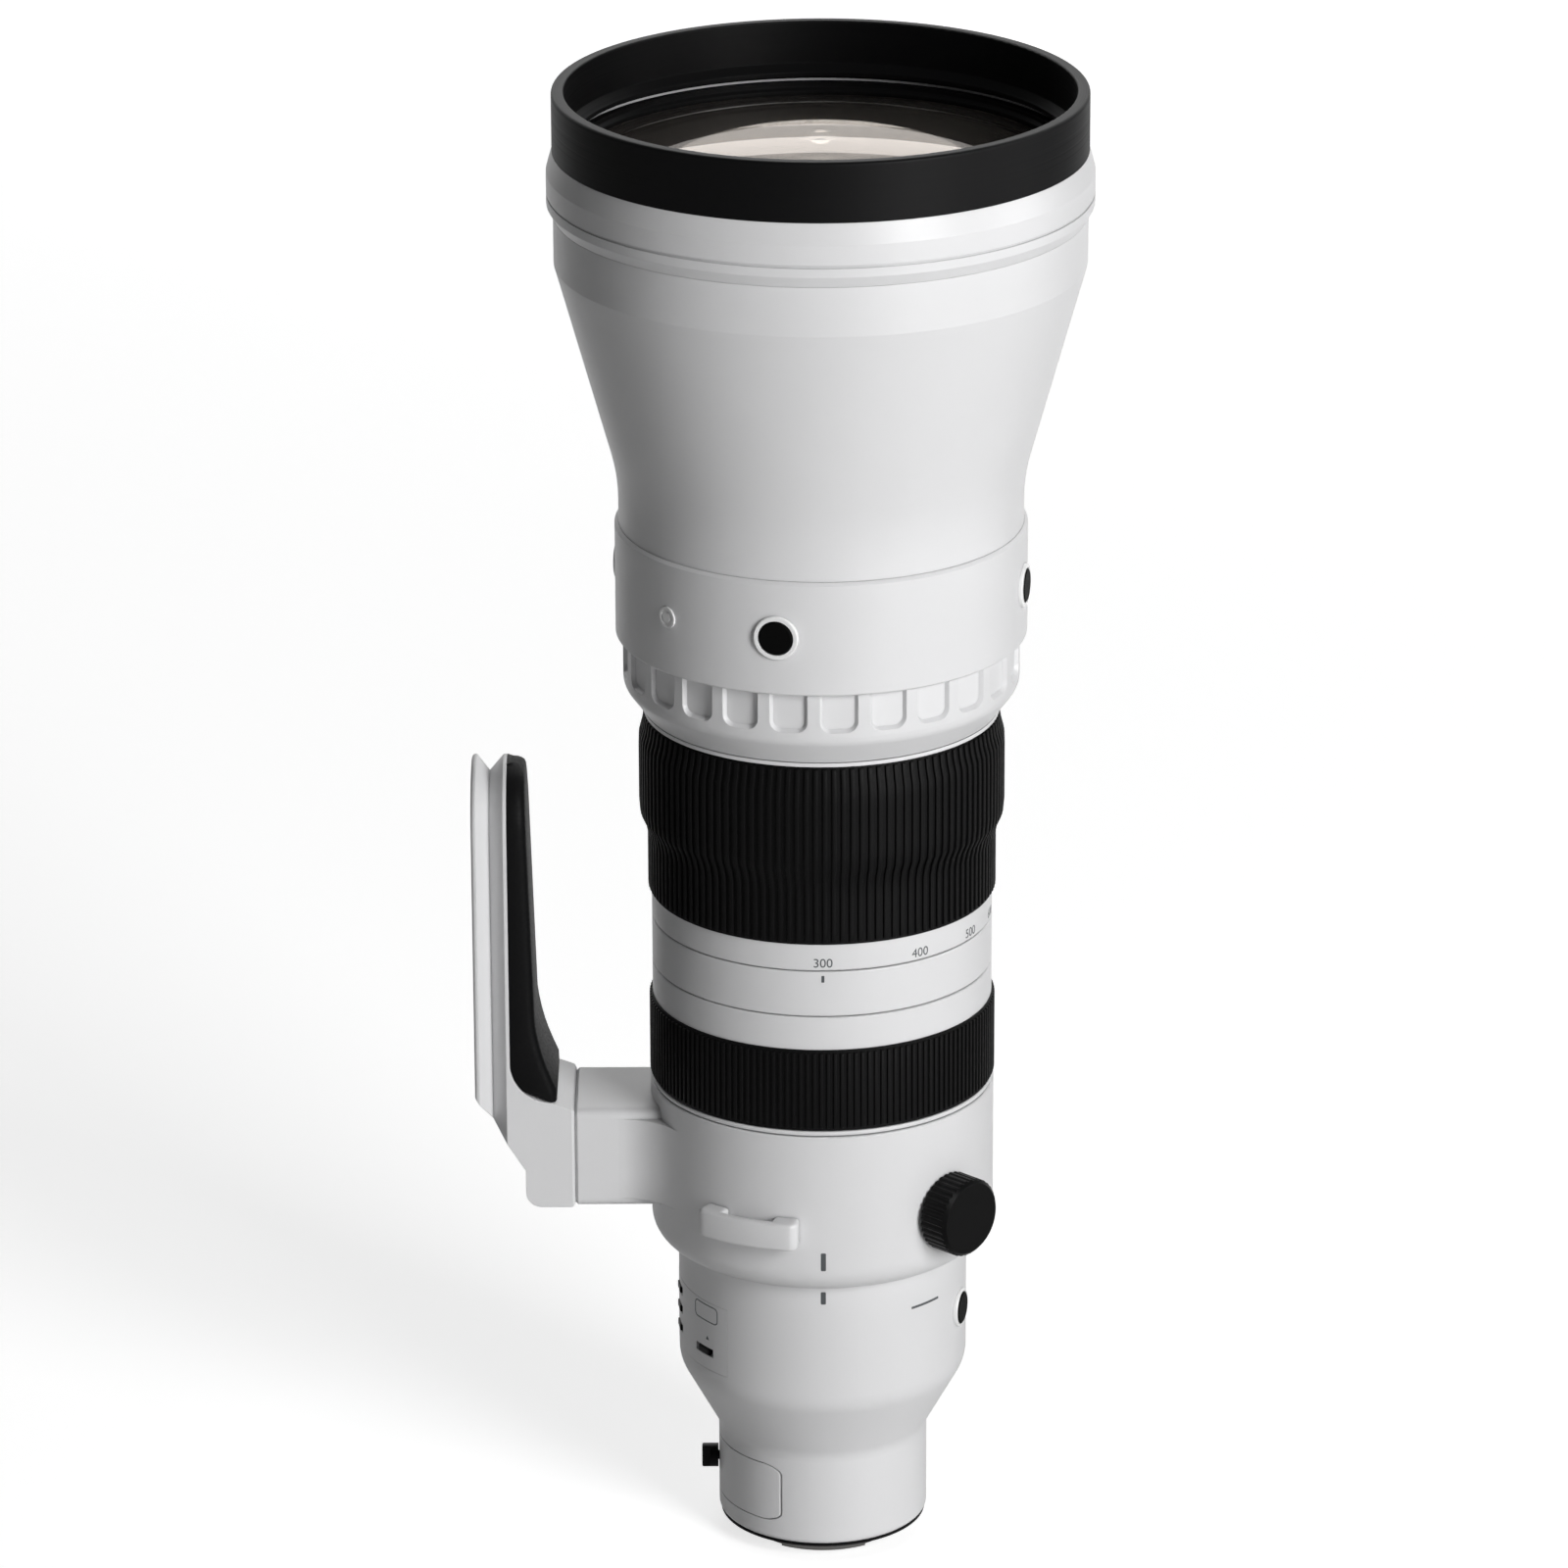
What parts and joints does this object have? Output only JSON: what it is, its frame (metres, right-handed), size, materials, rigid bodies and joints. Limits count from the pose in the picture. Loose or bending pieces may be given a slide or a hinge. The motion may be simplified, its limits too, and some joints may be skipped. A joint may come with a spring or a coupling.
{
  "type": "camera zoom lens",
  "caption": "Large white telephoto zoom lens with rubber grip rings, rotating tripod collar and dovetail foot, slide-in rear filter and bayonet mount.",
  "frame": {"origin": "centre of the bayonet's flange face, on the optical axis", "axes": "+Z along the optical axis to the front glass, -X towards the tripod foot, -Y towards the zoom index"},
  "size_m": [0.1915, 0.166, 0.474],
  "materials": {
    "black_button": "matte",
    "black_knob": "black anodised, fine knurl",
    "black_rim": "matte black",
    "black_switch": "fine grained",
    "circuit": "solder mask",
    "contact_gold": "gold plated pins in a black block",
    "foot_rubber": "matte",
    "glass": "coated",
    "grip_rubber": "ribbed, matte",
    "inner_black": "black anodised",
    "inner_metal": "machined",
    "magnet_steel": "nickel plated",
    "mount_metal": "bright machined",
    "screw_steel": "blackened",
    "slippery_liner": "low friction",
    "white_band": "satin, fine grain",
    "white_bezel": "moulded, semi gloss",
    "white_paint": "satin, fine grain"
  },
  "bodies": {
    "barrel": {"button_bezels": "white_bezel", "button_ring": "white_paint", "contact_block": "contact_gold", "fluted_grip_ring": "white_paint", "focus_guide_rods": "screw_steel", "focus_motor_magnets": "magnet_steel", "front_element": "glass", "front_group_rear_elements": "glass", "front_lens_cell": "inner_black", "front_retaining_ring": "black_rim", "front_rim_ring": "black_rim", "front_shell": "white_paint", "guide_barrel": "inner_black", "hood_flange_ring": "white_paint", "index_band": "white_band", "iris_unit": "inner_black", "main_barrel": "white_paint", "main_circuit_board": "circuit", "mount_ring": "mount_metal", "mount_screws": "screw_steel", "ois_base": "inner_black", "rear_barrel": "white_paint", "rear_elements": "glass", "rear_lens_cell": "inner_black", "rear_seal": "foot_rubber", "switch_panel": "white_bezel"},
    "zoom_ring_body": {"zoom_ring": "white_band", "zoom_grip": "grip_rubber", "cam_barrel": "inner_black"},
    "variator": {"variator_carrier": "inner_black", "variator_lens": "glass"},
    "compensator": {"compensator_carrier": "inner_black", "compensator_lens": "glass"},
    "focus_ring_body": {"focus_ring": "white_band", "focus_grip": "grip_rubber"},
    "focus_group": {"focus_carrier": "inner_black", "focus_lens": "glass"},
    "collar": {"tripod_collar": "white_paint", "collar_liners": "slippery_liner", "strap_lugs": "white_paint", "tripod_foot": "white_paint", "foot_grip_pad": "foot_rubber", "foot_screws": "screw_steel"},
    "knob": {"clamp_knob": "black_knob"},
    "shoe": {"clamp_shoe": "inner_metal"},
    "rear_button_body": {"rear_button": "black_button"},
    "filter_drawer": {"filter_holder": "white_paint", "drop_in_filter": "glass"},
    "filter_lock": {"filter_lock_knob": "black_knob"},
    "ois_guide_body": {"ois_guide": "inner_metal"},
    "ois_frame_body": {"ois_frame": "inner_black", "ois_lens": "glass"},
    "button_1": {"focus_button_1": "black_button"},
    "switch_1": {"slide_switch_1": "black_switch"},
    "button_2": {"focus_button_2": "black_button"},
    "switch_2": {"slide_switch_2": "black_switch"},
    "button_3": {"focus_button_3": "black_button"},
    "switch_3": {"slide_switch_3": "black_switch"},
    "button_4": {"focus_button_4": "black_button"},
    "switch_4": {"slide_switch_4": "black_switch"}
  },
  "joints": [
    {"name": "zoom_turn", "type": "hinge", "parent": "barrel", "child": "zoom_ring_body", "pos_m": [0, 0, 0.24], "axis": [0, 0, 1], "range_deg": [-79.5, 0]},
    {"name": "variator_slide", "type": "slide", "parent": "barrel", "child": "variator", "axis": [0, 0, 1], "range_m": [-0.022, 0]},
    {"name": "compensator_slide", "type": "slide", "parent": "barrel", "child": "compensator", "axis": [0, 0, 1], "range_m": [-0.012, 0]},
    {"name": "focus_turn", "type": "hinge", "parent": "barrel", "child": "focus_ring_body", "pos_m": [0, 0, 0.17], "axis": [0, 0, 1], "continuous": true},
    {"name": "focus_slide", "type": "slide", "parent": "barrel", "child": "focus_group", "axis": [0, 0, -1], "range_m": [0, 0.03]},
    {"name": "collar_turn", "type": "hinge", "parent": "barrel", "child": "collar", "pos_m": [0, 0, 0.125], "axis": [0, 0, 1], "continuous": true},
    {"name": "clamp_turn", "type": "hinge", "parent": "collar", "child": "knob", "pos_m": [0.04316, -0.04168, 0.118], "axis": [-0.7193, 0.6947, 0], "range_deg": [0, 180]},
    {"name": "clamp_press", "type": "slide", "parent": "collar", "child": "shoe", "axis": [-0.7193, 0.6947, 0], "range_m": [0, 0.0005]},
    {"name": "rear_button_press", "type": "slide", "parent": "barrel", "child": "rear_button_body", "axis": [-0.9511, 0.309, 0], "range_m": [0, 0.0008], "stiffness_N_per_m": 800, "springref_m": -0.0005},
    {"name": "filter_slide", "type": "slide", "parent": "barrel", "child": "filter_drawer", "axis": [-1, 0, 0], "range_m": [0, 0.062]},
    {"name": "filter_lock_turn", "type": "hinge", "parent": "filter_drawer", "child": "filter_lock", "pos_m": [-0.036, 0, 0.017], "axis": [-1, 0, 0], "range_deg": [0, 90]},
    {"name": "ois_shift_x", "type": "slide", "parent": "barrel", "child": "ois_guide_body", "axis": [1, 0, 0], "range_m": [-0.001, 0.001]},
    {"name": "ois_shift_y", "type": "slide", "parent": "ois_guide_body", "child": "ois_frame_body", "axis": [0, 1, 0], "range_m": [-0.001, 0.001]},
    {"name": "button_1_press", "type": "slide", "parent": "barrel", "child": "button_1", "axis": [0.2198, 0.9755, 0], "range_m": [0, 0.0008], "stiffness_N_per_m": 800, "springref_m": -0.0005},
    {"name": "button_2_press", "type": "slide", "parent": "barrel", "child": "button_2", "axis": [-0.9755, 0.2198, 0], "range_m": [0, 0.0008], "stiffness_N_per_m": 800, "springref_m": -0.0005},
    {"name": "button_3_press", "type": "slide", "parent": "barrel", "child": "button_3", "axis": [-0.2198, -0.9755, 0], "range_m": [0, 0.0008], "stiffness_N_per_m": 800, "springref_m": -0.0005},
    {"name": "button_4_press", "type": "slide", "parent": "barrel", "child": "button_4", "axis": [0.9755, -0.2198, 0], "range_m": [0, 0.0008], "stiffness_N_per_m": 800, "springref_m": -0.0005},
    {"name": "switch_1_slide", "type": "slide", "parent": "barrel", "child": "switch_1", "axis": [0.5693, -0.8221, 0], "range_m": [-0.0016, 0.0016]},
    {"name": "switch_2_slide", "type": "slide", "parent": "barrel", "child": "switch_2", "axis": [0.134, -0.991, 0], "range_m": [-0.0016, 0.0016]},
    {"name": "switch_3_slide", "type": "slide", "parent": "barrel", "child": "switch_3", "axis": [0.134, -0.991, 0], "range_m": [-0.0016, 0.0016]},
    {"name": "switch_4_slide", "type": "slide", "parent": "barrel", "child": "switch_4", "axis": [0.134, -0.991, 0], "range_m": [-0.0016, 0.0016]}
  ],
  "couplings": [
    {"joint": "variator_slide", "follows": "zoom_turn", "m_per_rad": 0.015855},
    {"joint": "compensator_slide", "follows": "zoom_turn", "m_per_rad": 0.008648},
    {"joint": "clamp_press", "follows": "clamp_turn", "m_per_rad": 0.000159}
  ]
}
